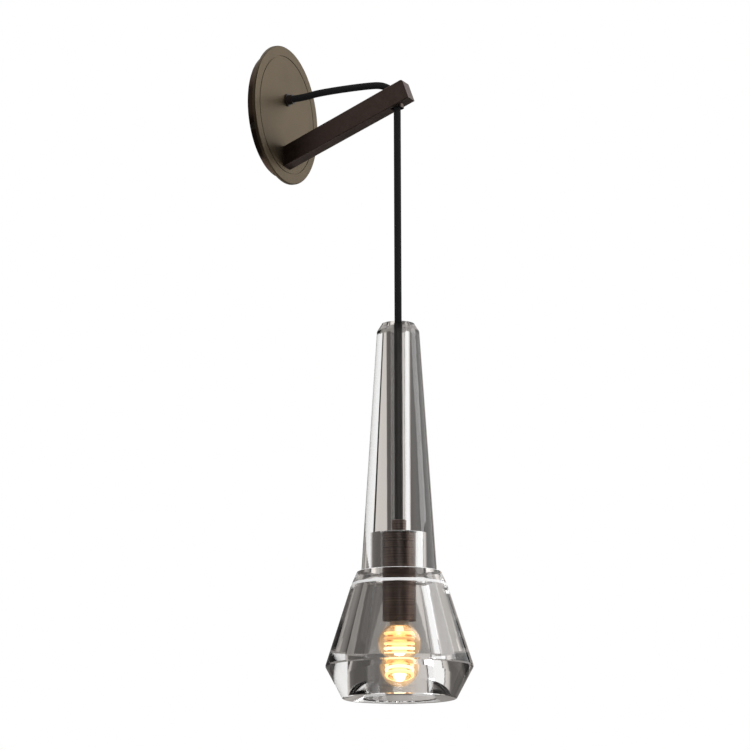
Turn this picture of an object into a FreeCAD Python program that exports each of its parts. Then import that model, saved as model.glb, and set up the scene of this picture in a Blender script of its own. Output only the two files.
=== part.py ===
import FreeCAD
import Part
import math
import os

# Hanging pendant wall light: a round canopy on the wall, an inclined square bar,
# and a turned crystal pendant that hangs from the bar on a textile cord.
# Millimetres. Origin: middle of the canopy's back, on the wall. The wall is the
# plane y = 0 and the light stands out of it toward -Y. Z is up.
V = FreeCAD.Vector

# Canopy
disc_radius = 60.0
disc_front = 10.63
disc_back = 8.0
disc_edge_round = 1.0
groove_inset = 8.95
groove_width = 0.9
groove_depth = 0.5
disc_overhang = 6.82
drum_wall = 1.5
drum_front_wall = 1.6
groove_radius = disc_radius - groove_inset
drum_radius = disc_radius - disc_overhang

# Wall plate behind the canopy
plate_gap = 2.28
plate_radius = drum_radius - drum_wall - plate_gap
plate_thickness = 1.8
plate_opening_radius = 22.0
slot_spacing = 66.0
slot_width = 5.0
slot_length = 13.0
ear_inset = 0.3
ear_width = 12.0
ear_thickness = 3.2
ear_height = 6.0
ear_angle = 23.8
side_screw_depth = 3.6
side_screw_radius = 2.0
side_screw_head_radius = 2.9
side_screw_head_height = 1.3
side_screw_length = 6.4
side_screw_recess_radius = 1.2
side_screw_recess_depth = 0.6
earth_screw_inset = 15.4
earth_screw_z = plate_radius - earth_screw_inset
earth_screw_radius = 2.0
earth_screw_head_radius = 3.8
earth_screw_head_height = 2.2
earth_screw_slot_inset = 1.6
earth_screw_slot_width = 1.0
earth_screw_slot_depth = 0.9
earth_washer_radius = 4.6
earth_washer_thickness = 0.8

# Arm
arm_width = 13.36
arm_foot_rise = 12.77
arm_foot_height = 17.95
arm_foot_bottom = arm_foot_rise - disc_radius
arm_foot_top = arm_foot_bottom + arm_foot_height
arm_end_top = (121.9, 15.9)
arm_end_drop = (6.06, -16.93)
arm_end_bottom = (arm_end_top[0] + arm_end_drop[0], arm_end_top[1] + arm_end_drop[1])
arm_edge_round = 0.7
arm_end_round = 2.2
arm_screw_rises = (13.73, 6.23)
arm_screw_levels = [arm_foot_bottom + rise for rise in arm_screw_rises]
arm_screw_radius = 2.0
arm_screw_head_radius = 3.5
arm_screw_head_height = 2.6
arm_screw_grip = 7.5
arm_screw_socket_radius = 1.5
arm_screw_socket_depth = 1.4

# Cord
cord_radius = 3.0
cord_exit_z = 13.4
hang_inset = 7.3
hang_out = arm_end_top[0] - hang_inset
route_start = 2.0
route_points = (
    (26.0, 13.4),
    (42.0, 16.0),
    (hang_out - 23.6, 16.1),
    (hang_out - 10.2, 13.6),
    (hang_out, 4.0),
)
route_end_z = -2.1
arm_hole_radius = 4.3

# Bushing and grip where the cord leaves the canopy
gland_radius = 4.2
gland_nose = 16.5
gland_flange_radius = 5.4
gland_flange_thickness = 1.6
gland_tail = 3.6
gland_nut_flats = 12.0
gland_nut_thickness = 2.0
grip_radius = 5.2
grip_back = 2.2

# Bushings of the arm
grommet_inner_radius = 3.5
grommet_start = 5.9
grommet_length = 3.5
mouth_radius = 4.9
mouth_wall = 0.85
mouth_top = -1.0
mouth_bottom = -7.3

# Flexing point of the hanging cord
pivot_z = -4.0
bend_radius = 1.9

# Crystal: radius and level of each edge of the turned outline
crystal_top = -194.1
neck_height = 207.75
neck_bevel = 6.5
shade_height = 103.55
shade_shoulder = 10.85
shade_girdle = 77.15
shade_top = crystal_top - neck_height
crystal_bottom = shade_top - shade_height
neck_rings = (
    (13.5, crystal_top),
    (17.5, crystal_top - neck_bevel),
    (31.0, shade_top),
)
shade_rings = (
    (34.4, shade_top),
    (39.3, shade_top - shade_shoulder),
    (60.45, shade_top - shade_girdle),
    (46.3, crystal_bottom),
)
bore_radius = 6.5
pocket_radius = 15.35
pocket_depth = 135.0
pocket_ceiling = crystal_bottom + pocket_depth
cavity_radius = 29.3
cavity_height = 29.4
cavity_shoulder_radius = 19.0
cavity_shoulder_drop = 1.7
cavity_flare = 2.5

# Lamp holder
washer_thickness = 0.8
washer_radius = 14.4
washer_hole_radius = 6.2
cup_radius = 13.6
cup_wall = 1.0
cup_top_thickness = 2.0
cup_height = 76.8
cup_bottom = pocket_ceiling - washer_thickness - cup_height
cup_edge = 0.5
collar_radius = 5.9
collar_rise = 9.7
collar_top = pocket_ceiling + collar_rise
collar_edge = 0.5
nipple_radius = 5.0
nipple_rise = 4.4
nipple_length = 15.0
nipple_top = pocket_ceiling + nipple_rise
nipple_bottom = nipple_top - nipple_length
cord_end = nipple_bottom + 2.0
sleeve_radius = 3.4
sleeve_inset = 3.9
sleeve_top = crystal_top - sleeve_inset
holder_radius = 10.8
holder_waist_radius = 9.4
holder_recess = 20.0
holder_bottom = cup_bottom + holder_recess
holder_waist_bottom = holder_bottom + 14.0
holder_shoulder = holder_bottom + 11.0
pin_offset = 4.5
pin_slot_width = 2.6
pin_slot_depth = 4.6
pin_slot_length = 18.0
contact_thickness = 0.5
contact_width = 3.2
contact_length = 12.0
ring_top = holder_bottom + 6.0
ring_bottom = holder_bottom + 2.0

# Bulb
globe_radius = 17.5
globe_wall = 0.9
bulb_base_radius = 9.0
bulb_base_top = holder_bottom
bulb_base_taper = 1.0
bulb_base_straight = 6.0
bulb_base_edge = 0.5
bulb_base_plug = 1.2
globe_drop = 39.0
globe_centre = bulb_base_top - globe_drop
bulb_pin_radius = 0.75
bulb_pin_length = 14.0
bulb_pin_top = bulb_base_top + bulb_pin_length
bulb_stem_radius = 3.2
bulb_ring_radius = 12.6
bulb_ring_waist = 11.0
bulb_ring_height = 2.8
bulb_ring_pitch = 4.2
bulb_ring_count = 5
bulb_core_top = globe_centre + 10.0


def polar(radius, angle_deg, out):
    """Point at a distance from the canopy's axis, at a depth in front of the wall."""
    a = math.radians(angle_deg)
    return V(radius * math.cos(a), -out, radius * math.sin(a))


def out_rod(radius, near, far, x=0.0, z=0.0):
    """Round bar square to the wall, between two distances from it."""
    return Part.makeCylinder(radius, far - near, V(x, -near, z), V(0, -1, 0))


def drop_rod(radius, top, bottom, x=0.0):
    """Upright round bar on the pendant's axis."""
    return Part.makeCylinder(radius, top - bottom, V(x, -hang_out, bottom), V(0, 0, 1))


def out_box(size_x, size_z, near, far, x=0.0, z=0.0):
    """Rectangular block square to the wall."""
    corner = V(x - size_x / 2, -far, z - size_z / 2)
    return Part.makeBox(size_x, far - near, size_z, corner)


def on_pendant(shape):
    """Shape made about the Z axis, put on the pendant's axis."""
    shape.translate(V(0, -hang_out, 0))
    return shape


def turned(profile):
    """Solid of revolution about the pendant's axis, from (radius, z) corners."""
    points = [V(r, 0, z) for r, z in profile]
    points.append(points[0])
    face = Part.Face(Part.makePolygon(points))
    return on_pendant(face.revolve(V(0, 0, 0), V(0, 0, 1), 360))


def face_disc():
    """Turned front plate with a fine groove and a rounded edge."""
    disc = out_rod(disc_radius, disc_back, disc_front)
    rim = [e for e in disc.Edges if abs(e.BoundBox.YMin + disc_front) < 0.01 and len(e.Vertexes) == 1]
    disc = disc.makeFillet(disc_edge_round, [rim[0]])
    floor = disc_front - groove_depth
    groove = out_rod(groove_radius + groove_width / 2, floor, disc_front + 1)
    groove = groove.cut(out_rod(groove_radius - groove_width / 2, floor, disc_front + 1))
    disc = disc.cut(groove).cut(out_rod(gland_radius, 0, gland_nose, z=cord_exit_z))
    for level in arm_screw_levels:
        disc = disc.cut(out_rod(arm_screw_radius, 0, disc_front + 1, z=level))
    return disc


def side_screw_hole(angle):
    """Straight hole through the drum's side and the tab behind it."""
    length = side_screw_length + side_screw_head_height
    start = polar(drum_radius - side_screw_length, angle, side_screw_depth)
    return Part.makeCylinder(side_screw_radius, length, start, polar(1, angle, 0))


def canopy_drum():
    """Shallow spun cup behind the front plate."""
    drum = out_rod(drum_radius, 0, disc_back)
    drum = drum.cut(out_rod(drum_radius - drum_wall, 0, disc_back - drum_front_wall))
    drum = drum.cut(out_rod(gland_radius, 0, gland_nose, z=cord_exit_z))
    for level in arm_screw_levels:
        drum = drum.cut(out_rod(arm_screw_radius, 0, disc_front, z=level))
    for angle in (ear_angle, ear_angle + 180):
        drum = drum.cut(side_screw_hole(angle))
    return drum


def slot(centre_x):
    """Slotted hole of the wall plate, long side along X."""
    half = (slot_length - slot_width) / 2
    cutter = out_box(2 * half, slot_width, -1, plate_thickness + 1, x=centre_x)
    for side in (-half, half):
        cutter = cutter.fuse(out_rod(slot_width / 2, -1, plate_thickness + 1, x=centre_x + side))
    return cutter


def ear(angle):
    """Tab of the wall plate that takes a side screw."""
    block = Part.makeBox(ear_thickness, ear_height, ear_width)
    block.translate(V(plate_radius - ear_thickness - ear_inset, -ear_height, -ear_width / 2))
    block.rotate(V(0, 0, 0), V(0, 1, 0), -angle)
    return block


def wall_plate():
    """Pressed plate screwed to the wall, with two tabs and an open middle."""
    plate = out_rod(plate_radius, 0, plate_thickness)
    for angle in (ear_angle, ear_angle + 180):
        plate = plate.fuse(ear(angle))
    plate = plate.cut(out_rod(plate_opening_radius, -1, plate_thickness + 1))
    for side in (-1, 1):
        plate = plate.cut(slot(side * slot_spacing / 2))
    for angle in (ear_angle, ear_angle + 180):
        plate = plate.cut(side_screw_hole(angle))
    plate = plate.cut(out_rod(earth_screw_radius, -1, plate_thickness + 1, z=earth_screw_z))
    return plate.removeSplitter()


def side_screw(angle):
    """Screw through the drum's side into a tab, with a cross-cut head."""
    direction = polar(1, angle, 0)
    inner = polar(drum_radius - side_screw_length, angle, side_screw_depth)
    seat = polar(drum_radius, angle, side_screw_depth)
    shank = Part.makeCylinder(side_screw_radius, side_screw_length, inner, direction)
    head = Part.makeCylinder(side_screw_head_radius, side_screw_head_height, seat, direction)
    floor = drum_radius + side_screw_head_height - side_screw_recess_depth
    recess_floor = polar(floor, angle, side_screw_depth)
    recess = Part.makeCylinder(side_screw_recess_radius, side_screw_head_height, recess_floor, direction)
    return shank.fuse(head).cut(recess)


def earth_screw():
    """Pan-head earthing screw on the wall plate."""
    seat = plate_thickness + earth_washer_thickness
    shank = out_rod(earth_screw_radius, 0.3, seat, z=earth_screw_z)
    head = out_rod(earth_screw_head_radius, seat, seat + earth_screw_head_height, z=earth_screw_z)
    top = seat + earth_screw_head_height
    groove = out_box(
        2 * earth_screw_head_radius - earth_screw_slot_inset,
        earth_screw_slot_width,
        top - earth_screw_slot_depth,
        top + 1,
        z=earth_screw_z,
    )
    return shank.fuse(head).cut(groove)


def earth_washer():
    """Cupped washer under the earthing screw, modelled flat."""
    top = plate_thickness + earth_washer_thickness
    washer = out_rod(earth_washer_radius, plate_thickness, top, z=earth_screw_z)
    return washer.cut(out_rod(earth_screw_radius, 0, top + 1, z=earth_screw_z))


def arm():
    """Square bar rising from the front plate, drilled through for the cord."""
    corners = [
        (disc_front, arm_foot_bottom),
        arm_end_bottom,
        arm_end_top,
        (disc_front, arm_foot_top),
    ]
    points = [V(-arm_width / 2, -out, z) for out, z in corners]
    bar = Part.Face(Part.makePolygon(points + [points[0]])).extrude(V(arm_width, 0, 0))
    end_edges = []
    for edge in bar.Edges:
        box = edge.BoundBox
        if box.XLength > 5 and abs(box.YMin + arm_end_top[0]) < 0.01:
            end_edges.append(edge)
    bar = bar.makeFillet(arm_end_round, end_edges)
    long_edges = [e for e in bar.Edges if e.BoundBox.YLength > arm_end_top[0] / 2]
    bar = bar.makeFillet(arm_edge_round, long_edges)
    over, corner = route_points[3], route_points[4]
    start = V(0, -over[0], over[1])
    turn = V(0, -corner[0], corner[1])
    run = turn.sub(start)
    bar = bar.cut(Part.makeCylinder(arm_hole_radius, run.Length, start, run))
    bar = bar.cut(drop_rod(arm_hole_radius, corner[1] + 1.0, mouth_top - 1))
    bar = bar.cut(drop_rod(mouth_radius + mouth_wall, mouth_top, arm_foot_bottom))
    for level in arm_screw_levels:
        bar = bar.cut(out_rod(arm_screw_radius, 0, disc_front + arm_screw_grip, z=level))
    return bar


def arm_screw(level):
    """Cap screw that holds the arm's foot from behind the canopy."""
    seat = disc_back - drum_front_wall
    head = out_rod(arm_screw_head_radius, seat - arm_screw_head_height, seat, z=level)
    shank = out_rod(arm_screw_radius, seat, disc_front + arm_screw_grip - 0.5, z=level)
    socket_floor = seat - arm_screw_head_height + arm_screw_socket_depth
    socket = out_rod(arm_screw_socket_radius, 0, socket_floor, z=level)
    return head.fuse(shank).cut(socket)


def cord_gland():
    """Flanged bushing of the cord in the front plate."""
    body = out_rod(gland_radius, gland_tail, gland_nose, z=cord_exit_z)
    top = disc_front + gland_flange_thickness
    flange = out_rod(gland_flange_radius, disc_front, top, z=cord_exit_z)
    return body.fuse(flange).cut(out_rod(cord_radius, 0, gland_nose, z=cord_exit_z))


def gland_nut():
    """Thin nut that holds the bushing from inside the drum."""
    seat = disc_back - drum_front_wall
    radius = gland_nut_flats / math.sqrt(3)
    angles = [math.radians(60 * k) for k in range(7)]
    ring = [V(radius * math.cos(a), -seat, cord_exit_z + radius * math.sin(a)) for a in angles]
    nut = Part.Face(Part.makePolygon(ring)).extrude(V(0, gland_nut_thickness, 0))
    return nut.cut(out_rod(gland_radius, 0, gland_nose, z=cord_exit_z))


def cord_grip():
    """Clamping ring on the cord behind the bushing, so that a pull can't free it."""
    grip = out_rod(grip_radius, grip_back, gland_tail, z=cord_exit_z)
    return grip.cut(out_rod(cord_radius, 0, gland_nose, z=cord_exit_z))


def arm_grommet():
    """Ring in the mouth of the hole in the arm's top."""
    over, corner = route_points[3], route_points[4]
    start = V(0, -over[0], over[1])
    run = V(0, -corner[0], corner[1]).sub(start).normalize()
    foot = start.add(run * grommet_start)
    ring = Part.makeCylinder(arm_hole_radius, grommet_length, foot, run)
    return ring.cut(Part.makeCylinder(grommet_inner_radius, grommet_length, foot, run))


def arm_mouth():
    """Bushing under the arm, wide enough for the cord to swing in it."""
    body = drop_rod(mouth_radius + mouth_wall, mouth_top, mouth_bottom)
    return body.cut(drop_rod(mouth_radius, mouth_top + 1, mouth_bottom - 1))


def cord_wire():
    """Centre line of the cord to the arm: straight runs joined by tangent arcs."""
    plan = [(route_start, cord_exit_z)] + list(route_points) + [(hang_out, route_end_z)]
    points = [V(0, -out, z) for out, z in plan]
    edges = []
    here = points[0]
    for k in range(1, len(points) - 1):
        before = points[k - 1].sub(points[k])
        after = points[k + 1].sub(points[k])
        half = (math.pi - before.getAngle(after)) / 2
        shorter = min(before.Length, after.Length)
        reach = 0.45 * shorter
        if k == len(points) - 2:
            # the last arc goes round the hole's edge inside the arm
            reach = after.Length
        radius = reach / math.tan(half)
        print("cord arc", k, "radius", round(radius, 1), "turn", round(math.degrees(2 * half), 1))
        enter = points[k].add(before.normalize() * reach)
        leave = points[k].add(after.normalize() * reach)
        inward = before.add(after).normalize()
        middle = points[k].add(inward * (radius / math.cos(half) - radius))
        if enter.distanceToPoint(here) > 1e-6:
            edges.append(Part.LineSegment(here, enter).toShape())
        edges.append(Part.Arc(enter, middle, leave).toShape())
        here = leave
    if points[-1].distanceToPoint(here) > 1e-6:
        edges.append(Part.LineSegment(here, points[-1]).toShape())
    return Part.Wire(edges)


def cord_to_arm():
    """Tight stretch of cord from the canopy over the end of the arm."""
    path = cord_wire()
    circle = Part.makeCircle(cord_radius, V(0, -route_start, cord_exit_z), V(0, -1, 0))
    tube = path.makePipeShell([Part.Wire(circle)], True, False)
    print("cord to arm", round(path.Length, 1), "volume ratio",
          round(tube.Volume / (math.pi * cord_radius ** 2 * path.Length), 4))
    return tube


def cord_bend():
    """Ball-shaped stretch of cord at the flexing point."""
    return on_pendant(Part.makeSphere(bend_radius, V(0, 0, pivot_z)))


def cord_drop():
    """Hanging stretch of cord, down through the crystal into the lamp holder."""
    return drop_rod(cord_radius, pivot_z - bend_radius, cord_end)


def cord_sleeve():
    """Black sleeve on the cord inside the crystal's neck."""
    sleeve = drop_rod(sleeve_radius, sleeve_top, collar_top)
    return sleeve.cut(drop_rod(cord_radius, 0, cord_end))


def collar_nut():
    """Collar that screws down on the nipple and centres the crystal's bore."""
    cup_top = pocket_ceiling - washer_thickness
    collar = drop_rod(collar_radius, collar_top, cup_top)
    rim = [e for e in collar.Edges if abs(e.BoundBox.ZMin - collar_top) < 0.01 and len(e.Vertexes) == 1]
    collar = collar.makeChamfer(collar_edge, [rim[0]])
    collar = collar.cut(drop_rod(cord_radius, 0, cord_end))
    return collar.cut(drop_rod(nipple_radius, nipple_top, cup_top - 1))


def nipple():
    """Hollow threaded tube that joins collar, cup and lamp holder."""
    tube = drop_rod(nipple_radius, nipple_top, nipple_bottom)
    return tube.cut(drop_rod(cord_radius, 0, nipple_bottom - 1))


def seat_washer():
    """Soft washer between the cup and the crystal that rests on it."""
    washer = drop_rod(washer_radius, pocket_ceiling, pocket_ceiling - washer_thickness)
    return washer.cut(drop_rod(washer_hole_radius, 0, cup_bottom))


def socket_cup():
    """Turned metal cup round the lamp holder."""
    top = pocket_ceiling - washer_thickness
    inner = cup_radius - cup_wall
    profile = [
        (nipple_radius, top),
        (cup_radius - cup_edge, top),
        (cup_radius, top - cup_edge),
        (cup_radius, cup_bottom),
        (inner, cup_bottom),
        (inner, top - cup_top_thickness),
        (nipple_radius, top - cup_top_thickness),
    ]
    return turned(profile)


def pin_slots():
    """Two slots of the lamp holder for the bulb's pins and their contacts."""
    boxes = []
    for side in (-1, 1):
        corner = V(side * pin_offset - pin_slot_width / 2, -hang_out - pin_slot_depth / 2, holder_bottom)
        boxes.append(Part.makeBox(pin_slot_width, pin_slot_depth, pin_slot_length, corner))
    return boxes


def lamp_holder():
    """Ceramic holder for a two-pin bulb, with a waist."""
    top = pocket_ceiling - washer_thickness - cup_top_thickness
    profile = [
        (0, top),
        (holder_waist_radius, top),
        (holder_waist_radius, holder_waist_bottom),
        (holder_radius, holder_shoulder),
        (holder_radius, holder_bottom),
        (0, holder_bottom),
    ]
    body = turned(profile)
    body = body.cut(drop_rod(nipple_radius, top + 1, nipple_bottom))
    for box in pin_slots():
        body = body.cut(box)
    return body


def pin_contact(side):
    """Spring strip beside a pin of the bulb."""
    x = side * (pin_offset - bulb_pin_radius - contact_thickness / 2)
    corner = V(x - contact_thickness / 2, -hang_out - contact_width / 2, holder_bottom + 2)
    strip = Part.makeBox(contact_thickness, contact_width, contact_length + 4, corner)
    foot_x = side * (pin_offset - pin_slot_width / 2)
    low = min(foot_x, x)
    heel = Part.makeBox(abs(foot_x - x), contact_width, 1.0, V(low, corner.y, holder_bottom + 4))
    return strip.fuse(heel)


def holder_ring():
    """Insulating ring that centres the holder in the cup."""
    ring = drop_rod(cup_radius - cup_wall, ring_top, ring_bottom)
    return ring.cut(drop_rod(holder_radius, 0, cup_bottom))


def crystal_neck():
    """Tall tapered crystal with a bore for the cord and half of the cup's pocket."""
    return turned([(bore_radius, crystal_top)] + list(neck_rings) + [
        (pocket_radius, shade_top),
        (pocket_radius, pocket_ceiling),
        (bore_radius, pocket_ceiling),
    ])


def crystal_shade():
    """Wide crystal bonded under the neck, hollowed from below for the bulb."""
    shoulder = shade_top - shade_shoulder
    return turned([(pocket_radius, shade_top)] + list(shade_rings) + [
        (cavity_radius + cavity_flare, crystal_bottom),
        (cavity_radius, crystal_bottom + cavity_flare),
        (cavity_radius, crystal_bottom + cavity_height),
        (cavity_shoulder_radius, shoulder - cavity_shoulder_drop),
        (pocket_radius, shoulder),
    ])


def globe_lip():
    """Level at which the globe's opening is as wide as the base's plug."""
    plug_radius = bulb_base_radius - bulb_base_taper
    return globe_centre + math.sqrt(globe_radius ** 2 - plug_radius ** 2)


def bulb_globe():
    """Blown round envelope, open where the base plugs it."""
    centre = V(0, 0, globe_centre)
    outer = Part.makeSphere(globe_radius, centre)
    inner = Part.makeSphere(globe_radius - globe_wall, centre)
    globe = on_pendant(outer.cut(inner))
    return globe.cut(drop_rod(bulb_base_radius - bulb_base_taper, cup_bottom, globe_centre))


def bulb_base():
    """Ceramic base of the bulb, with a plug in the globe's opening."""
    plug_radius = bulb_base_radius - bulb_base_taper
    plug_bottom = globe_lip() - bulb_base_plug
    return turned([
        (0, bulb_base_top),
        (plug_radius - bulb_base_edge, bulb_base_top),
        (plug_radius + bulb_base_edge, bulb_base_top - bulb_base_straight),
        (plug_radius, globe_lip()),
        (plug_radius, plug_bottom),
        (0, plug_bottom),
    ])


def bulb_pin(side):
    """One pin of the bulb."""
    return drop_rod(bulb_pin_radius, bulb_pin_top, bulb_base_top, x=side * pin_offset)


def bulb_core():
    """Stem with a stack of glowing rings inside the globe."""
    profile = [(0, globe_lip() - bulb_base_plug), (bulb_stem_radius, globe_lip() - bulb_base_plug)]
    profile.append((bulb_stem_radius, bulb_core_top))
    for k in range(bulb_ring_count):
        top = bulb_core_top - k * bulb_ring_pitch
        profile.append((bulb_ring_radius, top))
        profile.append((bulb_ring_radius, top - bulb_ring_height))
        if k < bulb_ring_count - 1:
            profile.append((bulb_ring_waist, top - bulb_ring_height))
            profile.append((bulb_ring_waist, top - bulb_ring_pitch))
    profile.append((0, profile[-1][1]))
    return turned(profile)


def main():
    pieces = {
        "wall_plate": wall_plate(),
        "side_screw_left": side_screw(ear_angle + 180),
        "side_screw_right": side_screw(ear_angle),
        "earth_screw": earth_screw(),
        "earth_washer": earth_washer(),
        "canopy_drum": canopy_drum(),
        "face_disc": face_disc(),
        "arm": arm(),
        "arm_screw_upper": arm_screw(arm_screw_levels[0]),
        "arm_screw_lower": arm_screw(arm_screw_levels[1]),
        "cord_gland": cord_gland(),
        "gland_nut": gland_nut(),
        "cord_grip": cord_grip(),
        "arm_grommet": arm_grommet(),
        "arm_mouth": arm_mouth(),
        "cord_to_arm": cord_to_arm(),
        "cord_bend": cord_bend(),
        "cord_drop": cord_drop(),
        "cord_sleeve": cord_sleeve(),
        "collar_nut": collar_nut(),
        "nipple": nipple(),
        "seat_washer": seat_washer(),
        "socket_cup": socket_cup(),
        "lamp_holder": lamp_holder(),
        "contact_left": pin_contact(-1),
        "contact_right": pin_contact(1),
        "holder_ring": holder_ring(),
        "crystal_neck": crystal_neck(),
        "crystal_shade": crystal_shade(),
        "bulb_globe": bulb_globe(),
        "bulb_base": bulb_base(),
        "bulb_pin_left": bulb_pin(-1),
        "bulb_pin_right": bulb_pin(1),
        "bulb_core": bulb_core(),
    }
    os.makedirs("parts", exist_ok=True)
    for name, shape in pieces.items():
        if len(shape.Solids) != 1 or not shape.isValid() or shape.Volume <= 0:
            print("LOOK AT", name, len(shape.Solids), shape.isValid(), shape.Volume)
        if shape.ShapeType == "Compound":
            shape = shape.Solids[0]
        shape.exportStep("parts/" + name + ".step")
        print(name, round(shape.Volume, 1))


main()
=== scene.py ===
import bmesh
import bpy
import math
from mathutils import Matrix, Vector


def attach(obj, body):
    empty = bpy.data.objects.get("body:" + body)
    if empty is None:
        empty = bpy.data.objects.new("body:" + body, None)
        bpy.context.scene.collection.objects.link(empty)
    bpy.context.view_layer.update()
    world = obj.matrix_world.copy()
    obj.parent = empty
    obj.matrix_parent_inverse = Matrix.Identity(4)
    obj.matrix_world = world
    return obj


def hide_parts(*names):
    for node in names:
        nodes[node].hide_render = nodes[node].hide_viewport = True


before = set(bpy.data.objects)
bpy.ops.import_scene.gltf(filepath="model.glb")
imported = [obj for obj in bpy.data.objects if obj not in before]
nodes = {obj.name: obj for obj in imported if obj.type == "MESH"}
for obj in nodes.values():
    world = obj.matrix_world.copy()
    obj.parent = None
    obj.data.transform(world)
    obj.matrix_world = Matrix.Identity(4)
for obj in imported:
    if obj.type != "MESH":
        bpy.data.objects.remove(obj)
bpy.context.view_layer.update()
scene = bpy.context.scene

# Camera: a long lens low on the room side, looking up past the pendant toward the canopy.
camera_turn = math.radians(-65.02)
camera_lift = math.radians(11.59)
camera_roll = math.radians(-0.15)
look = Vector((
    -math.sin(camera_turn) * math.cos(camera_lift),
    math.cos(camera_turn) * math.cos(camera_lift),
    math.sin(camera_lift),
))
level_right = Vector((math.cos(camera_turn), math.sin(camera_turn), 0))
level_up = level_right.cross(look)
right = math.cos(camera_roll) * level_right + math.sin(camera_roll) * level_up
up = -math.sin(camera_roll) * level_right + math.cos(camera_roll) * level_up
camera_data = bpy.data.cameras.new("camera")
camera_data.sensor_width = 36
camera_data.lens = 144
camera_data.clip_start = 0.1
camera_data.clip_end = 60
camera = bpy.data.objects.new("camera", camera_data)
scene.collection.objects.link(camera)
camera_place = Matrix.Translation((-2.21709, -1.12617, -0.73698))
camera.matrix_world = camera_place @ Matrix((right, up, -look)).transposed().to_4x4()
scene.camera = camera
scene.view_settings.view_transform = "Standard"


# Cord from the canopy to the arm: round cable in a black textile braid, pulled tight
# over the end of the bar. The braid is woven from yarns that pass over and under.
cord_radius = 0.003
hang = -0.1146
mouth_level = -0.0021


def new_material(name, colour, roughness, metallic=0.0):
    """Material with a Principled shader, and its node tree."""
    material = bpy.data.materials.new(name)
    material.use_nodes = True
    shader = material.node_tree.nodes["Principled BSDF"]
    shader.inputs["Base Color"].default_value = (*colour, 1)
    shader.inputs["Roughness"].default_value = roughness
    shader.inputs["Metallic"].default_value = metallic
    return material, material.node_tree, shader


def add(tree, kind, **settings):
    """One node with its settings; the names of inputs start with a capital letter."""
    node = tree.nodes.new(kind)
    for key, value in settings.items():
        if key[0].isupper():
            node.inputs[key.replace("_", " ")].default_value = value
        else:
            setattr(node, key, value)
    return node


def maths(tree, operation, a, b=None, c=None):
    """One Math node; each of a, b and c is a number or an output."""
    node = tree.nodes.new("ShaderNodeMath")
    node.operation = operation
    for socket, value in zip(node.inputs, (a, b, c)):
        if value is None:
            continue
        if isinstance(value, (int, float)):
            socket.default_value = value
        else:
            tree.links.new(value, socket)
    return node.outputs[0]


def new_group(name, inputs, outputs):
    """Empty shader node group; inputs and outputs are (name, kind, default)."""
    group = bpy.data.node_groups.new(name, "ShaderNodeTree")
    kinds = {"value": "NodeSocketFloat", "colour": "NodeSocketColor", "vector": "NodeSocketVector"}
    for label, kind, default in inputs:
        socket = group.interface.new_socket(label, in_out="INPUT", socket_type=kinds[kind])
        if default is not None:
            socket.default_value = default
    for label, kind in outputs:
        group.interface.new_socket(label, in_out="OUTPUT", socket_type=kinds[kind])
    return group, group.nodes.new("NodeGroupInput"), group.nodes.new("NodeGroupOutput")


def place_group(tree, group, **values):
    """A node group in a material, with its own values."""
    node = tree.nodes.new("ShaderNodeGroup")
    node.node_tree = group
    for key, value in values.items():
        node.inputs[key.replace("_", " ")].default_value = value
    return node


def braided_cotton():
    """Matte black yarn braid: diamonds of yarn from the piece's own UV map, in yarn widths."""
    material, tree, shader = new_material("black_braid", (0.008, 0.008, 0.009), 0.8)
    shader.inputs["Sheen Weight"].default_value = 0.04
    shader.inputs["Sheen Roughness"].default_value = 0.5
    shader.inputs["Sheen Tint"].default_value = (0.6, 0.6, 0.65, 1)
    shader.inputs["Specular IOR Level"].default_value = 0.15
    place = add(tree, "ShaderNodeUVMap", uv_map="braid")
    split = add(tree, "ShaderNodeSeparateXYZ")
    tree.links.new(place.outputs[0], split.inputs[0])
    across, along = split.outputs[0], split.outputs[1]
    right_hand = maths(tree, "ADD", across, along)
    left_hand = maths(tree, "SUBTRACT", across, along)
    cells = maths(tree, "ADD", maths(tree, "FLOOR", right_hand), maths(tree, "FLOOR", left_hand))
    over = maths(tree, "ABSOLUTE", maths(tree, "MODULO", cells, 2))
    mix = add(tree, "ShaderNodeMix", data_type="FLOAT")
    tree.links.new(over, mix.inputs[0])
    for yarn, socket in ((right_hand, 2), (left_hand, 3)):
        ridge = maths(tree, "ABSOLUTE", maths(tree, "SINE", maths(tree, "MULTIPLY", yarn, math.pi)))
        tree.links.new(ridge, mix.inputs[socket])
    fuzz = add(tree, "ShaderNodeTexNoise", Scale=2500.0, Detail=3.0)
    where = add(tree, "ShaderNodeTexCoord")
    tree.links.new(where.outputs["Object"], fuzz.inputs["Vector"])
    height = maths(tree, "MULTIPLY_ADD", fuzz.outputs[0], 0.35, mix.outputs[0])
    bump = add(tree, "ShaderNodeBump", Strength=0.7, Distance=0.00025)
    tree.links.new(height, bump.inputs["Height"])
    tree.links.new(bump.outputs[0], shader.inputs["Normal"])
    # Base colour follows the weave's height: darker in the low grooves between yarns, which is painted
    # shade, and mottled by the fuzz noise.
    ramp = add(tree, "ShaderNodeValToRGB")
    ramp.color_ramp.elements[0].color = (0.002, 0.002, 0.002, 1)
    ramp.color_ramp.elements[1].color = (0.013, 0.013, 0.014, 1)
    tree.links.new(height, ramp.inputs[0])
    tree.links.new(ramp.outputs[0], shader.inputs["Base Color"])
    return material


def applied(carrier):
    """Plain mesh of an object with its modifiers applied; the object is removed."""
    bpy.context.view_layer.update()
    evaluated = carrier.evaluated_get(bpy.context.evaluated_depsgraph_get())
    mesh = bpy.data.meshes.new_from_object(evaluated)
    bpy.data.objects.remove(carrier)
    return mesh


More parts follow.
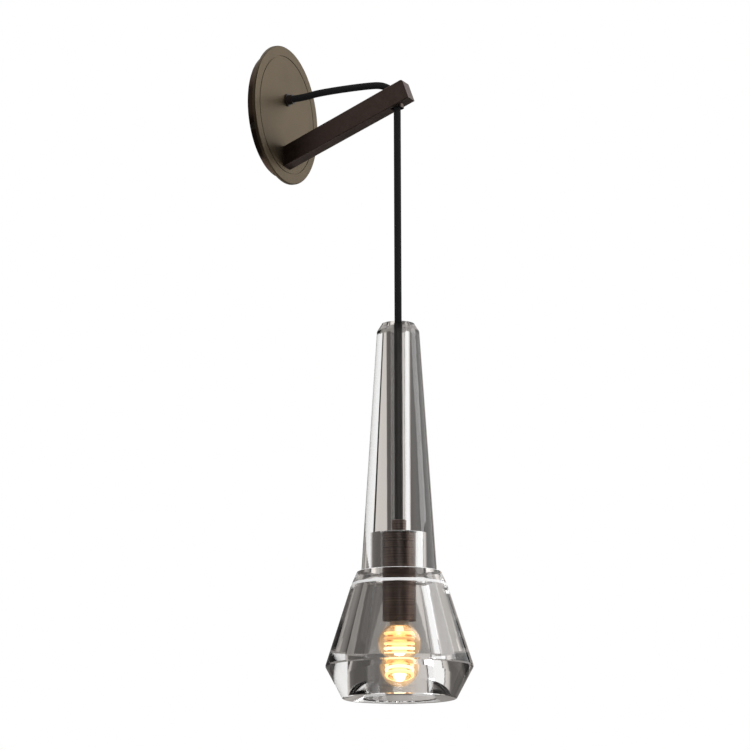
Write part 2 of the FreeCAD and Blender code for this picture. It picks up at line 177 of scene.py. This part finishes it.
def spline_points(name, points):
    """Points along the NURBS line that has the route's points as its control points."""
    curve = bpy.data.curves.new(name, "CURVE")
    curve.dimensions = "3D"
    curve.resolution_u = 24
    spline = curve.splines.new("NURBS")
    spline.points.add(len(points) - 1)
    for point, place in zip(spline.points, points):
        point.co = (*place, 1)
    spline.order_u = 3
    spline.use_endpoint_u = True
    carrier = bpy.data.objects.new(name, curve)
    scene.collection.objects.link(carrier)
    line = applied(carrier)
    path = [v.co.copy() for v in line.vertices]
    bpy.data.meshes.remove(line)
    return path


def new_piece(name, mesh, material, body, slot, *replaced):
    """Finished mesh as a piece that rides on a body and stands for CAD nodes."""
    piece = bpy.data.objects.new(name, mesh)
    scene.collection.objects.link(piece)
    if material is not None:
        mesh.materials.append(material)
    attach(piece, body)
    if replaced:
        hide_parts(*replaced)
    return piece


def braided_tube(name, path, radius, step=0.0012, sides=32, yarns=8):
    """Closed tube along a path, with a UV map in yarn widths round and along it."""
    lengths = [0.0]
    for a, b in zip(path, path[1:]):
        lengths.append(lengths[-1] + (b - a).length)
    count = max(2, round(lengths[-1] / step))
    places = []
    k = 0
    for i in range(count + 1):
        d = lengths[-1] * i / count
        while k < len(path) - 2 and lengths[k + 1] < d:
            k += 1
        share = (d - lengths[k]) / max(lengths[k + 1] - lengths[k], 1e-9)
        places.append(path[k].lerp(path[k + 1], min(1.0, share)))
    shell = bmesh.new()
    uv_layer = shell.loops.layers.uv.new("braid")
    pitch = 2 * math.pi * radius / yarns
    rings = []
    turns = [2 * math.pi * j / sides for j in range(sides)]
    side = Vector((1, 0, 0))
    for i, place in enumerate(places):
        ahead = places[min(i + 1, count)] - places[max(i - 1, 0)]
        ahead.normalize()
        side = (side - ahead * side.dot(ahead)).normalized()
        other = ahead.cross(side)
        rings.append([shell.verts.new(place + radius * (math.cos(a) * side + math.sin(a) * other))
                      for a in turns])
    for i in range(count):
        for j in range(sides):
            n = (j + 1) % sides
            face = shell.faces.new((rings[i][j], rings[i][n], rings[i + 1][n], rings[i + 1][j]))
            face.smooth = True
            corners = ((j, i), (j + 1, i), (j + 1, i + 1), (j, i + 1))
            for loop, (u, v) in zip(face.loops, corners):
                loop[uv_layer].uv = (u * yarns / sides, v * lengths[-1] / count / pitch)
    shell.faces.new(list(reversed(rings[0])))
    shell.faces.new(rings[-1])
    bmesh.ops.recalc_face_normals(shell, faces=shell.faces)
    mesh = bpy.data.meshes.new(name)
    shell.to_mesh(mesh)
    shell.free()
    return mesh, places


black_braid = braided_cotton()
arm_route = (
    (0, -0.0020, 0.0134),
    (0, -0.0260, 0.0134),
    (0, -0.0420, 0.0160),
    (0, -0.0910, 0.0161),
    (0, -0.1044, 0.0136),
    (0, hang, 0.0040),
    (0, hang, mouth_level),
)
mesh, line = braided_tube("cord_over_arm", spline_points("arm_route", arm_route), cord_radius)
cord_over_arm = new_piece("cord_over_arm", mesh, black_braid, "wall_side", "cord_textile", "cord_to_arm")


# Hanging cord: the same braid, straight under the pendant's weight, down through the
# crystal into the threaded tube. Its short flexing stretch sits in the arm's mouth.
drop_top = -0.0059
drop_end = -0.3790
flexing_share = 0.63
drop_path = [Vector((0, hang, drop_top)), Vector((0, hang, drop_end))]
mesh, line = braided_tube("cord_hanging", drop_path, cord_radius)
cord_hanging = new_piece("cord_hanging", mesh, black_braid, "pendant", "cord_textile", "cord_drop")
bend_path = [Vector((0, hang, mouth_level)), Vector((0, hang, drop_top))]
mesh, line = braided_tube("cord_flexing", bend_path, cord_radius * flexing_share, step=0.0004)
new_piece("cord_flexing", mesh, black_braid, "bend", "cord_textile", "cord_bend")


# Canopy: a turned front plate on a shallow spun drum, both plated olive bronze and
# brushed in circles, with a fine groove near the plate's edge.
def round_marks():
    """Coordinates for turning marks: distance from the axis Z plus height, and the direction."""
    group, given, out = new_group("round_marks", [("Vector", "vector", None)], [("Marks", "vector")])
    split = add(group, "ShaderNodeSeparateXYZ")
    group.links.new(given.outputs["Vector"], split.inputs[0])
    x, y, z = split.outputs
    squares = maths(group, "ADD", maths(group, "MULTIPLY", x, x), maths(group, "MULTIPLY", y, y))
    reach = maths(group, "SQRT", squares)
    safe = maths(group, "MAXIMUM", reach, 0.0001)
    join = add(group, "ShaderNodeCombineXYZ")
    group.links.new(maths(group, "ADD", reach, z), join.inputs[0])
    for socket, offset in ((1, x), (2, y)):
        direction = maths(group, "DIVIDE", offset, safe)
        group.links.new(maths(group, "MULTIPLY", direction, 0.001), join.inputs[socket])
    group.links.new(join.outputs[0], out.inputs["Marks"])
    return group


def worked_metal():
    """Colour, roughness and height of plated metal with fine marks square to its first coordinate."""
    group, given, out = new_group(
        "worked_metal",
        [
            ("Marks", "vector", None),
            ("Place", "vector", None),
            ("Light", "colour", None),
            ("Dark", "colour", None),
            ("Fineness", "value", 6000.0),
            ("Length", "value", 400.0),
            ("Patch", "value", 40.0),
            ("Rough Low", "value", 0.3),
            ("Rough High", "value", 0.5),
        ],
        [("Colour", "colour"), ("Roughness", "value"), ("Height", "value")],
    )
    scale = add(group, "ShaderNodeCombineXYZ")
    group.links.new(given.outputs["Fineness"], scale.inputs[0])
    group.links.new(given.outputs["Length"], scale.inputs[1])
    group.links.new(given.outputs["Length"], scale.inputs[2])
    stretch = add(group, "ShaderNodeVectorMath", operation="MULTIPLY")
    group.links.new(given.outputs["Marks"], stretch.inputs[0])
    group.links.new(scale.outputs[0], stretch.inputs[1])
    fine = add(group, "ShaderNodeTexNoise", Scale=1.0, Detail=3.0, Roughness=0.65)
    group.links.new(stretch.outputs[0], fine.inputs["Vector"])
    patches = add(group, "ShaderNodeTexNoise", Detail=2.0)
    group.links.new(given.outputs["Place"], patches.inputs["Vector"])
    group.links.new(given.outputs["Patch"], patches.inputs["Scale"])
    blend = maths(group, "ADD", maths(group, "MULTIPLY", fine.outputs[0], 0.65),
                  maths(group, "MULTIPLY", patches.outputs[0], 0.35))
    spread = add(group, "ShaderNodeMapRange")
    spread.inputs["From Min"].default_value = 0.35
    spread.inputs["From Max"].default_value = 0.65
    group.links.new(blend, spread.inputs["Value"])
    colour = add(group, "ShaderNodeMix", data_type="RGBA")
    group.links.new(spread.outputs[0], colour.inputs[0])
    group.links.new(given.outputs["Dark"], colour.inputs[6])
    group.links.new(given.outputs["Light"], colour.inputs[7])
    rough = add(group, "ShaderNodeMapRange")
    group.links.new(spread.outputs[0], rough.inputs["Value"])
    group.links.new(given.outputs["Rough Low"], rough.inputs["To Min"])
    group.links.new(given.outputs["Rough High"], rough.inputs["To Max"])
    group.links.new(colour.outputs[2], out.inputs["Colour"])
    group.links.new(rough.outputs[0], out.inputs["Roughness"])
    group.links.new(fine.outputs[0], out.inputs["Height"])
    return group


round_marks_group = round_marks()
worked_metal_group = worked_metal()


def plated(name, light, dark, axis_turn, centre, rough, fineness=6000.0, length=400.0, patch=40.0,
           depth=0.00002, straight=False, anisotropic=0.0):
    """Worked metal: marks run round an axis, or straight along it."""
    material, tree, shader = new_material(name, light, rough[0], 1.0)
    shader.inputs["Anisotropic"].default_value = anisotropic
    where = add(tree, "ShaderNodeTexCoord")
    shift = add(tree, "ShaderNodeMapping", vector_type="TEXTURE", Location=centre, Rotation=axis_turn)
    tree.links.new(where.outputs["Object"], shift.inputs["Vector"])
    finish = place_group(tree, worked_metal_group, Light=(*light, 1), Dark=(*dark, 1), Fineness=fineness,
                         Length=length, Patch=patch, Rough_Low=rough[0], Rough_High=rough[1])
    if straight:
        tree.links.new(shift.outputs[0], finish.inputs["Marks"])
    else:
        marks = place_group(tree, round_marks_group)
        tree.links.new(shift.outputs[0], marks.inputs["Vector"])
        tree.links.new(marks.outputs[0], finish.inputs["Marks"])
    tree.links.new(where.outputs["Object"], finish.inputs["Place"])
    bump = add(tree, "ShaderNodeBump", Strength=0.5, Distance=depth)
    tree.links.new(finish.outputs["Height"], bump.inputs["Height"])
    tree.links.new(bump.outputs[0], shader.inputs["Normal"])
    tree.links.new(finish.outputs["Colour"], shader.inputs["Base Color"])
    tree.links.new(finish.outputs["Roughness"], shader.inputs["Roughness"])
    return material


def coat(material, *names):
    """Gives CAD nodes their finish."""
    for name in names:
        mesh = nodes[name].data
        mesh.materials.clear()
        mesh.materials.append(material)


quarter = math.radians(90)
olive_bronze = plated("olive_bronze", (0.142, 0.112, 0.073), (0.102, 0.078, 0.050), (quarter, 0, 0),
                      (0, 0, 0), (0.42, 0.52), anisotropic=0.4)
# The drum carries the same olive bronze plating as the plate; its darker, more coppery colour here is
# painted shade for the dark side the drum shows.
drum_bronze = plated("drum_bronze", (0.078, 0.052, 0.038), (0.045, 0.030, 0.022), (quarter, 0, 0),
                     (0, 0, 0), (0.18, 0.28))
coat(olive_bronze, "face_disc")
coat(drum_bronze, "canopy_drum")


# Wall plate: pressed zinc-plated steel behind the canopy, screwed to the wall, with
# two tabs for the side screws and a brass earthing screw on its washer.
zinc = plated("zinc_plate", (0.62, 0.62, 0.60), (0.48, 0.49, 0.49), (0, 0, 0), (0, 0, 0), (0.3, 0.5),
              fineness=900.0, length=900.0, patch=90.0)
brass = plated("turned_brass", (0.66, 0.47, 0.20), (0.52, 0.35, 0.14), (quarter, 0, 0), (0, 0, 0.034),
               (0.25, 0.38))
coat(zinc, "wall_plate")
coat(brass, "earth_screw", "earth_washer")


# Zinc-plated steel fasteners: two cap screws that hold the arm's foot from behind, and
# the hollow threaded tube through collar, cup and lamp holder.
coat(zinc, "arm_screw_upper", "arm_screw_lower", "nipple")


# Side screws: small bronze-plated steel pan heads, screwed through the drum's rim into
# the wall plate's tabs.
screw_bronze = plated("screw_bronze", (0.12, 0.10, 0.08), (0.07, 0.055, 0.045), (0, 0, 0), (0, 0, 0),
                      (0.22, 0.34), fineness=2500.0, length=2500.0)
coat(screw_bronze, "side_screw_left", "side_screw_right")


# Arm: solid square bar, plated dark brown bronze, ground along its length, its end
# cut square to it with a rounded upper edge.
arm_rise = 0.0159 + 0.02928
arm_run = 0.1219 - 0.01063
arm_slope = math.atan2(arm_rise, arm_run)
arm_bronze = plated("arm_bronze", (0.155, 0.116, 0.104), (0.105, 0.076, 0.068), (-arm_slope, 0, 0),
                    (0, 0, 0), (0.32, 0.45), fineness=2600.0, length=160.0, patch=60.0, straight=True)
coat(arm_bronze, "arm")


# Small fittings of the cord: dark brown plastic bushing, nut and clamping ring at the
# canopy, a ring in the arm's top, the lamp holder's ring and a turned bushing under the arm.
def moulded(name, colour, roughness):
    """Moulded plastic or rubber with a faint grain."""
    material, tree, shader = new_material(name, colour, roughness)
    where = add(tree, "ShaderNodeTexCoord")
    grain = add(tree, "ShaderNodeTexNoise", Scale=1800.0, Detail=3.0)
    tree.links.new(where.outputs["Object"], grain.inputs["Vector"])
    ramp = add(tree, "ShaderNodeValToRGB")
    ramp.color_ramp.elements[0].color = (*[0.8 * c for c in colour], 1)
    ramp.color_ramp.elements[1].color = (*[1.15 * c for c in colour], 1)
    tree.links.new(grain.outputs[0], ramp.inputs[0])
    tree.links.new(ramp.outputs[0], shader.inputs["Base Color"])
    bump = add(tree, "ShaderNodeBump", Strength=0.25, Distance=0.00005)
    tree.links.new(grain.outputs[0], bump.inputs["Height"])
    tree.links.new(bump.outputs[0], shader.inputs["Normal"])
    return material


gland_brown = moulded("gland_brown", (0.016, 0.011, 0.010), 0.38)
coat(gland_brown, "cord_gland", "gland_nut", "cord_grip", "arm_grommet", "holder_ring")
mouth_bronze = plated("mouth_bronze", (0.060, 0.047, 0.040), (0.035, 0.028, 0.024), (0, 0, 0),
                      (0, hang, 0), (0.15, 0.25))
coat(mouth_bronze, "arm_mouth")


# Cord sleeve: black soft extruded tube, slid over the cord, that keeps it off the
# crystal's bore.
black_sleeve = moulded("black_sleeve", (0.016, 0.015, 0.015), 0.5)
coat(black_sleeve, "cord_sleeve")


# Collar and cup: turned brass plated dark brown bronze. The cup hides the lamp holder
# and carries the crystal on a soft washer.
cup_bronze = plated("cup_bronze", (0.27, 0.200, 0.170), (0.085, 0.061, 0.053), (0, 0, 0), (0, hang, 0),
                    (0.26, 0.42), fineness=900.0, length=120.0, patch=30.0, depth=0.00004)
coat(cup_bronze, "socket_cup", "collar_nut")


# Seat washer: clear soft ring, punched from silicone sheet, that lies between the cup
# and the crystal's ceiling.
def turned(name, profile, sides=96, closed=True, sharp=30):
    """Turned solid about the pendant's axis, from (radius, level) corners."""
    shell = bmesh.new()
    turns = [2 * math.pi * i / sides for i in range(sides)]
    rings = []
    for radius, level in profile:
        if radius < 1e-7:
            rings.append([shell.verts.new((0, hang, level))])
            continue
        rings.append([shell.verts.new((radius * math.cos(a), hang + radius * math.sin(a), level))
                      for a in turns])
    count = len(rings) if closed else len(rings) - 1
    for j in range(count):
        upper, lower = rings[j], rings[(j + 1) % len(rings)]
        if len(upper) == 1 and len(lower) == 1:
            continue
        for i in range(sides):
            n = (i + 1) % sides
            if len(upper) == 1:
                corners = (upper[0], lower[i], lower[n])
            elif len(lower) == 1:
                corners = (upper[i], upper[n], lower[0])
            else:
                corners = (upper[i], upper[n], lower[n], lower[i])
            shell.faces.new(corners)
    bmesh.ops.recalc_face_normals(shell, faces=shell.faces)
    for face in shell.faces:
        face.smooth = True
    for edge in shell.edges:
        if len(edge.link_faces) == 2 and edge.calc_face_angle(0) > math.radians(sharp):
            edge.smooth = False
    mesh = bpy.data.meshes.new(name)
    shell.to_mesh(mesh)
    shell.free()
    return mesh


silicone, tree, shader = new_material("clear_silicone", (0.82, 0.82, 0.80), 0.35)
shader.inputs["Transmission Weight"].default_value = 0.6
shader.inputs["IOR"].default_value = 1.41
cloud = add(tree, "ShaderNodeTexNoise", Scale=600.0)
where = add(tree, "ShaderNodeTexCoord")
tree.links.new(where.outputs["Object"], cloud.inputs["Vector"])
ramp = add(tree, "ShaderNodeValToRGB")
ramp.color_ramp.elements[0].color = (0.72, 0.72, 0.70, 1)
ramp.color_ramp.elements[1].color = (0.88, 0.88, 0.86, 1)
tree.links.new(cloud.outputs[0], ramp.inputs[0])
tree.links.new(ramp.outputs[0], shader.inputs["Base Color"])
mesh = turned("seat_ring", ((0.0063, -0.37045), (0.0140, -0.37045), (0.0143, -0.37080),
                            (0.0140, -0.37115), (0.0063, -0.37115)))
new_piece("seat_ring", mesh, silicone, "pendant", "clear_silicone", "seat_washer")


# Crystal: turned, ground and polished clear glass, a tall neck on a wide shade, shown as
# one block. It has a bore for the cord, a pocket for the cup and a cavity for the bulb, and
# rests on the seat washer. The shade's rim and shoulder keep a narrow ground edge.
outline = (
    (0.01350, -0.19410),
    (0.01745, -0.20045),
    (0.01765, -0.20110),
    (0.03100, -0.40185),
    (0.03420, -0.40185),
    (0.03465, -0.40230),
    (0.03862, -0.41135),
    (0.03962, -0.41375),
    (0.06020, -0.47815),
    (0.06020, -0.47970),
    (0.04670, -0.50490),
    (0.04590, -0.50540),
)
hollow = (
    (0.00650, -0.19410),
    (0.00650, -0.37040),
    (0.01535, -0.37040),
    (0.01535, -0.41270),
    (0.01900, -0.41440),
    (0.02930, -0.47600),
    (0.02930, -0.50460),
    (0.03010, -0.50540),
)
crystal_sides = 240
ground_steps = (4, 6)  # bands of the outline, counted from the top
mesh = turned("crystal", outline + tuple(reversed(hollow)), sides=crystal_sides, sharp=0.5)
crystal_glass, tree, shader = new_material("crystal_glass", (1, 1, 1), 0.0)
shader.inputs["Transmission Weight"].default_value = 1.0
shader.inputs["IOR"].default_value = 1.5
smoke = add(tree, "ShaderNodeVolumeAbsorption", Color=(0.80, 0.78, 0.75, 1), Density=3.0)
tree.links.new(smoke.outputs[0], tree.nodes["Material Output"].inputs["Volume"])
new_piece("crystal", mesh, crystal_glass, "pendant", "crystal", "crystal_neck", "crystal_shade")
ground_edge, tree, shader = new_material("ground_edge", (0.96, 0.96, 0.96), 0.5)
shader.inputs["Transmission Weight"].default_value = 0.25
shader.inputs["IOR"].default_value = 1.5
grain = add(tree, "ShaderNodeTexNoise", Scale=1500.0, Detail=2.0)
where = add(tree, "ShaderNodeTexCoord")
tree.links.new(where.outputs["Object"], grain.inputs["Vector"])
bump = add(tree, "ShaderNodeBump", Strength=0.3, Distance=0.00005)
tree.links.new(grain.outputs[0], bump.inputs["Height"])
tree.links.new(bump.outputs[0], shader.inputs["Normal"])
mesh.materials.append(ground_edge)
for step in ground_steps:
    for face in mesh.polygons[step * crystal_sides:(step + 1) * crystal_sides]:
        face.material_index = 1


# Lamp holder: pressed and fired white steatite block, with two nickel-plated spring
# strips for the bulb's pins. It hangs on the threaded tube inside the cup.
steatite = moulded("white_steatite", (0.80, 0.78, 0.72), 0.25)
coat(steatite, "lamp_holder")
nickel = plated("nickel_wire", (0.68, 0.66, 0.62), (0.55, 0.53, 0.49), (0, 0, 0), (0, hang, 0), (0.2, 0.32))
coat(nickel, "contact_left", "contact_right", "bulb_pin_left", "bulb_pin_right")


# Bulb: thin warm glass globe over a frosted body ringed with glowing strips, on a
# ceramic base with two pins. The rings stand at even steps down the body.
globe_glass, tree, shader = new_material("globe_glass", (1.0, 0.88, 0.70), 0.02)
shader.inputs["Emission Color"].default_value = (1.0, 0.62, 0.32, 1)
shader.inputs["Emission Strength"].default_value = 0.09
shader.inputs["Transmission Weight"].default_value = 1.0
shader.inputs["IOR"].default_value = 1.45
coat(globe_glass, "bulb_globe")


def glowing(name, colours, top, bottom, strength):
    """Lit phosphor whose colour changes in soft bands from the top level to the bottom one."""
    material, tree, shader = new_material(name, (0.80, 0.62, 0.40), 0.5)
    shader.inputs["Emission Strength"].default_value = strength
    where = add(tree, "ShaderNodeTexCoord")
    split = add(tree, "ShaderNodeSeparateXYZ")
    tree.links.new(where.outputs["Object"], split.inputs[0])
    height = add(tree, "ShaderNodeMapRange")
    height.inputs["From Min"].default_value = top
    height.inputs["From Max"].default_value = bottom
    tree.links.new(split.outputs[2], height.inputs["Value"])
    ramp = add(tree, "ShaderNodeValToRGB")
    stops = ramp.color_ramp.elements
    while len(stops) < len(colours):
        stops.new(0.5)
    for k, colour in enumerate(colours):
        stops[k].position = k / (len(colours) - 1)
        stops[k].color = (*colour, 1)
    tree.links.new(height.outputs[0], ramp.inputs[0])
    tree.links.new(ramp.outputs[0], shader.inputs["Emission Color"])
    return material


ring_colours = ((1.0, 0.66, 0.30), (0.62, 0.36, 0.15), (0.22, 0.12, 0.06), (0.90, 0.62, 0.30),
                (1.0, 0.94, 0.78), (1.0, 0.90, 0.68), (0.95, 0.66, 0.34))
core_colours = ((0.85, 0.60, 0.34), (1.0, 0.86, 0.62), (1.0, 0.97, 0.88))
ring_glow = glowing("ring_glow", ring_colours, -0.4575, -0.4765, 1.7)
core_glow = glowing("core_glow", core_colours, -0.455, -0.479, 3.0)


def ring_stack(material):
    """Tree of rings at even steps down an axis."""
    tree = bpy.data.node_groups.new("ring_stack", "GeometryNodeTree")
    tree.is_modifier = True
    face = tree.interface
    for label, kind, default in (
        ("Rings", "NodeSocketInt", 5),
        ("Ring Radius", "NodeSocketFloat", 0.0114),
        ("Strip Radius", "NodeSocketFloat", 0.0013),
        ("First", "NodeSocketVector", (0, 0, 0)),
        ("Step", "NodeSocketVector", (0, 0, -0.004)),
    ):
        face.new_socket(label, in_out="INPUT", socket_type=kind).default_value = default
    face.new_socket("Geometry", in_out="OUTPUT", socket_type="NodeSocketGeometry")
    given = add(tree, "NodeGroupInput")
    rail = add(tree, "GeometryNodeCurvePrimitiveCircle", Resolution=72)
    strip = add(tree, "GeometryNodeCurvePrimitiveCircle", Resolution=14)
    sweep = add(tree, "GeometryNodeCurveToMesh")
    places = add(tree, "GeometryNodeMeshLine")
    copies = add(tree, "GeometryNodeInstanceOnPoints")
    real = add(tree, "GeometryNodeRealizeInstances")
    finish = add(tree, "GeometryNodeSetMaterial", Material=material)
    tree.links.new(given.outputs["Ring Radius"], rail.inputs["Radius"])
    tree.links.new(given.outputs["Strip Radius"], strip.inputs["Radius"])
    tree.links.new(rail.outputs["Curve"], sweep.inputs["Curve"])
    tree.links.new(strip.outputs["Curve"], sweep.inputs["Profile Curve"])
    tree.links.new(given.outputs["Rings"], places.inputs["Count"])
    tree.links.new(given.outputs["First"], places.inputs["Start Location"])
    tree.links.new(given.outputs["Step"], places.inputs["Offset"])
    tree.links.new(places.outputs["Mesh"], copies.inputs["Points"])
    tree.links.new(sweep.outputs["Mesh"], copies.inputs["Instance"])
    tree.links.new(copies.outputs["Instances"], real.inputs["Geometry"])
    tree.links.new(real.outputs["Geometry"], finish.inputs["Geometry"])
    tree.links.new(finish.outputs["Geometry"], add(tree, "NodeGroupOutput").inputs[0])
    return tree


def grown(name, tree, **values):
    """Plain mesh made by a tree with its own values."""
    carrier = bpy.data.objects.new(name, bpy.data.meshes.new(name))
    scene.collection.objects.link(carrier)
    modifier = carrier.modifiers.new("grow", "NODES")
    modifier.node_group = tree
    for item in tree.interface.items_tree:
        if item.in_out == "INPUT" and item.name.replace(" ", "_") in values:
            modifier[item.identifier] = values[item.name.replace(" ", "_")]
    mesh = applied(carrier)
    for face in mesh.polygons:
        face.use_smooth = True
    return mesh


mesh = grown("bulb_rings", ring_stack(ring_glow), Rings=5, Ring_Radius=0.0113, Strip_Radius=0.0013,
             First=(0, hang, -0.4584), Step=(0, 0, -0.0042))
new_piece("bulb_rings", mesh, None, "bulb", "bulb_light", "bulb_core")
mesh = turned("bulb_foot", ((0, -0.42806), (0.0070, -0.42806), (0.0075, -0.42840), (0.0085, -0.43360),
                            (0.0085, -0.43420), (0.0082, -0.43480), (0.0079, -0.43560), (0.0079, -0.45240),
                            (0.0076, -0.45260), (0, -0.45260)), closed=False)
new_piece("bulb_foot", mesh, steatite, "bulb", "white_ceramic", "bulb_base")
mesh = turned("bulb_heart", ((0, -0.4526), (0.0032, -0.4527), (0.0034, -0.4560), (0.0052, -0.4600),
                             (0.0062, -0.4680), (0.0058, -0.4750), (0.0036, -0.4792), (0, -0.4800)),
              closed=False, sharp=50)
new_piece("bulb_heart", mesh, core_glow, "bulb", "bulb_light")
frosted, tree, shader = new_material("frosted_tube", (0.95, 0.72, 0.45), 0.28)
shader.inputs["Transmission Weight"].default_value = 0.9
shader.inputs["IOR"].default_value = 1.3
cloud = add(tree, "ShaderNodeTexNoise", Scale=700.0)
where = add(tree, "ShaderNodeTexCoord")
tree.links.new(where.outputs["Object"], cloud.inputs["Vector"])
ramp = add(tree, "ShaderNodeValToRGB")
ramp.color_ramp.elements[0].color = (0.66, 0.42, 0.21, 1)
ramp.color_ramp.elements[1].color = (0.90, 0.66, 0.40, 1)
tree.links.new(cloud.outputs[0], ramp.inputs[0])
tree.links.new(ramp.outputs[0], shader.inputs["Base Color"])
mesh = turned("bulb_tube", ((0.0093, -0.4574), (0.0099, -0.4574), (0.0099, -0.4764), (0.0093, -0.4764)))
new_piece("bulb_tube", mesh, frosted, "bulb", "bulb_light")


# Stage: a pale floor well below the pendant, soft lamps, studio panels and a white world.
def sheet_of(name, centre, across, upward):
    """Flat four-cornered sheet."""
    shell = bmesh.new()
    c, a, u = Vector(centre), Vector(across), Vector(upward)
    shell.faces.new([shell.verts.new(p) for p in (c - a - u, c + a - u, c + a + u, c - a + u)])
    mesh = bpy.data.meshes.new(name)
    shell.to_mesh(mesh)
    shell.free()
    sheet = bpy.data.objects.new(name, mesh)
    scene.collection.objects.link(sheet)
    return sheet


floor = sheet_of("floor", (0, 0, -1.60), (25, 0, 0), (0, 25, 0))
floor_paint, tree, shader = new_material("floor_paint", (0.95, 0.95, 0.95), 0.8)
floor.data.materials.append(floor_paint)


def soft_lamp(name, place, target, size, power):
    """Large square lamp that faces the object."""
    data = bpy.data.lights.new(name, "AREA")
    data.size = size
    data.energy = power
    lamp = bpy.data.objects.new(name, data)
    scene.collection.objects.link(lamp)
    lamp.location = place
    lamp.rotation_euler = (Vector(target) - Vector(place)).to_track_quat("-Z", "Y").to_euler()
    return lamp


lamp_target = (0, -0.06, -0.2)
soft_lamp("lamp_left", (-1.4, -0.6, 1.4), lamp_target, 0.8, 14).visible_glossy = False
soft_lamp("lamp_front", (0.8, -1.8, 0.6), lamp_target, 1.0, 10)

# Studio panels: dark and white boards round the pendant that only reflections and
# refractions see. The crystal's grey tone and bands come from them. Their tones were set
# for the view of the camera above; without them the glass looks clear and white.
panel_tint = (1.0, 0.94, 0.89)
panel_reach = 2.6


def studio_flag(name, tones, low, high, distance=(panel_reach, panel_reach)):
    """Curved panel round the pendant's axis.

    tones are (degrees from +X toward +Y, grey); low and high are the levels of the lower
    and upper edges, and distance holds the radius of each.
    """
    shell = bmesh.new()
    shade = shell.loops.layers.float_color.new("tone")
    before = None
    for turn, grey in tones:
        stops = [(turn, grey)]
        if before is not None:
            parts = max(1, round((turn - before[0]) / 4))
            stops = [(before[0] + (turn - before[0]) * k / parts, before[1] + (grey - before[1]) * k / parts)
                     for k in range(1, parts + 1)]
        for degrees, tone in stops:
            a = math.radians(degrees)
            x, y = math.cos(a), math.sin(a)
            post = [shell.verts.new((x * d, hang + y * d, z)) for d, z in zip(distance, (low, high))]
            if before is not None:
                face = shell.faces.new((before[2][0], post[0], post[1], before[2][1]))
                for loop, value in zip(face.loops, (before[1], tone, tone, before[1])):
                    loop[shade] = (*[value * t for t in panel_tint], 1)
            before = (degrees, tone, post)
    mesh = bpy.data.meshes.new(name)
    shell.to_mesh(mesh)
    shell.free()
    paint = bpy.data.materials.new(name)
    paint.use_nodes = True
    tree = paint.node_tree
    tree.nodes.clear()
    tone = add(tree, "ShaderNodeVertexColor", layer_name="tone")
    light = add(tree, "ShaderNodeEmission", Strength=1.0)
    tree.links.new(tone.outputs["Color"], light.inputs["Color"])
    tree.links.new(light.outputs[0], add(tree, "ShaderNodeOutputMaterial").inputs[0])
    mesh.materials.append(paint)
    flag = bpy.data.objects.new(name, mesh)
    scene.collection.objects.link(flag)
    flag.visible_camera = False
    flag.visible_diffuse = False
    flag.visible_shadow = False


upper_tones = (
    (-11, 1.0), (-10, 0.02), (-7, 0.02), (-6, 0.66), (10, 0.62), (25, 0.42), (31, 0.14), (60, 0.09),
    (111, 0.09), (117, 0.55), (124, 0.50), (132, 0.28), (165, 0.34), (178, 0.10), (192, 0.12),
    (205, 0.40), (218, 0.12), (230, 0.05), (245, 0.05), (262, 0.9),
)
side_tones = (
    (-80, 0.70), (-72, 0.30), (-70, 0.9), (-62, 0.26), (-58, 0.35), (-56, 1.0), (-52, 0.30),
    (-44, 0.26), (-43, 0.9), (-38, 0.30), (-30, 0.34), (-29, 0.9), (-24, 0.30), (-10, 0.30),
)
lower_tones = (
    (-90, 0.9), (-70, 0.32), (-66, 0.7), (-62, 0.30), (-50, 0.34), (-48, 0.7), (-44, 0.30),
    (-10, 0.29), (25, 0.27), (60, 0.25), (120, 0.25), (145, 0.06), (200, 0.05), (260, 0.10),
    (270, 0.9),
)
base_tones = (
    (-180, 0.05), (-100, 0.10), (-70, 0.32), (-20, 0.26), (-8, 0.04), (14, 0.04), (17, 0.28),
    (60, 0.30), (64, 0.5), (90, 0.45), (110, 0.2), (180, 0.05),
)
floor_tones = (
    (-180, 0.06), (-110, 0.10), (-60, 0.6), (-20, 0.5), (-8, 0.05), (14, 0.05), (17, 0.95),
    (75, 0.95), (85, 0.10), (180, 0.06),
)
rear_tones = ((140, 0.30), (150, 0.08), (200, 0.05), (255, 0.05), (262, 0.6))
studio_flag("upper_flag", upper_tones, -0.45, 1.5)
studio_flag("side_flag", side_tones, -0.45, -0.27)
studio_flag("lower_flag", lower_tones, -1.0, -0.45)
studio_flag("base_flag", base_tones, -1.5, -1.0)
studio_flag("floor_flag", floor_tones, -1.5, -1.5, (0.01, panel_reach))
studio_flag("rear_flag", rear_tones, 1.5, 3.0, (panel_reach, 0.7))

world = bpy.data.worlds.new("white_studio")
scene.world = world
world.use_nodes = True
tree = world.node_tree
tree.nodes.clear()
ways = add(tree, "ShaderNodeLightPath")
seen = maths(tree, "MAXIMUM", ways.outputs["Is Camera Ray"], ways.outputs["Is Glossy Ray"])
seen = maths(tree, "MAXIMUM", seen, ways.outputs["Is Transmission Ray"])
plain = add(tree, "ShaderNodeBackground", Color=(1, 1, 1, 1), Strength=0.75)
white = add(tree, "ShaderNodeBackground", Color=(1, 1, 1, 1), Strength=1.0)
choose = add(tree, "ShaderNodeMixShader")
tree.links.new(seen, choose.inputs[0])
tree.links.new(plain.outputs[0], choose.inputs[1])
tree.links.new(white.outputs[0], choose.inputs[2])
tree.links.new(choose.outputs[0], add(tree, "ShaderNodeOutputWorld").inputs[0])


def corners(box):
    """A box as plain lists, to the micrometre."""
    return [[round(float(v), 6) for v in corner] for corner in box]
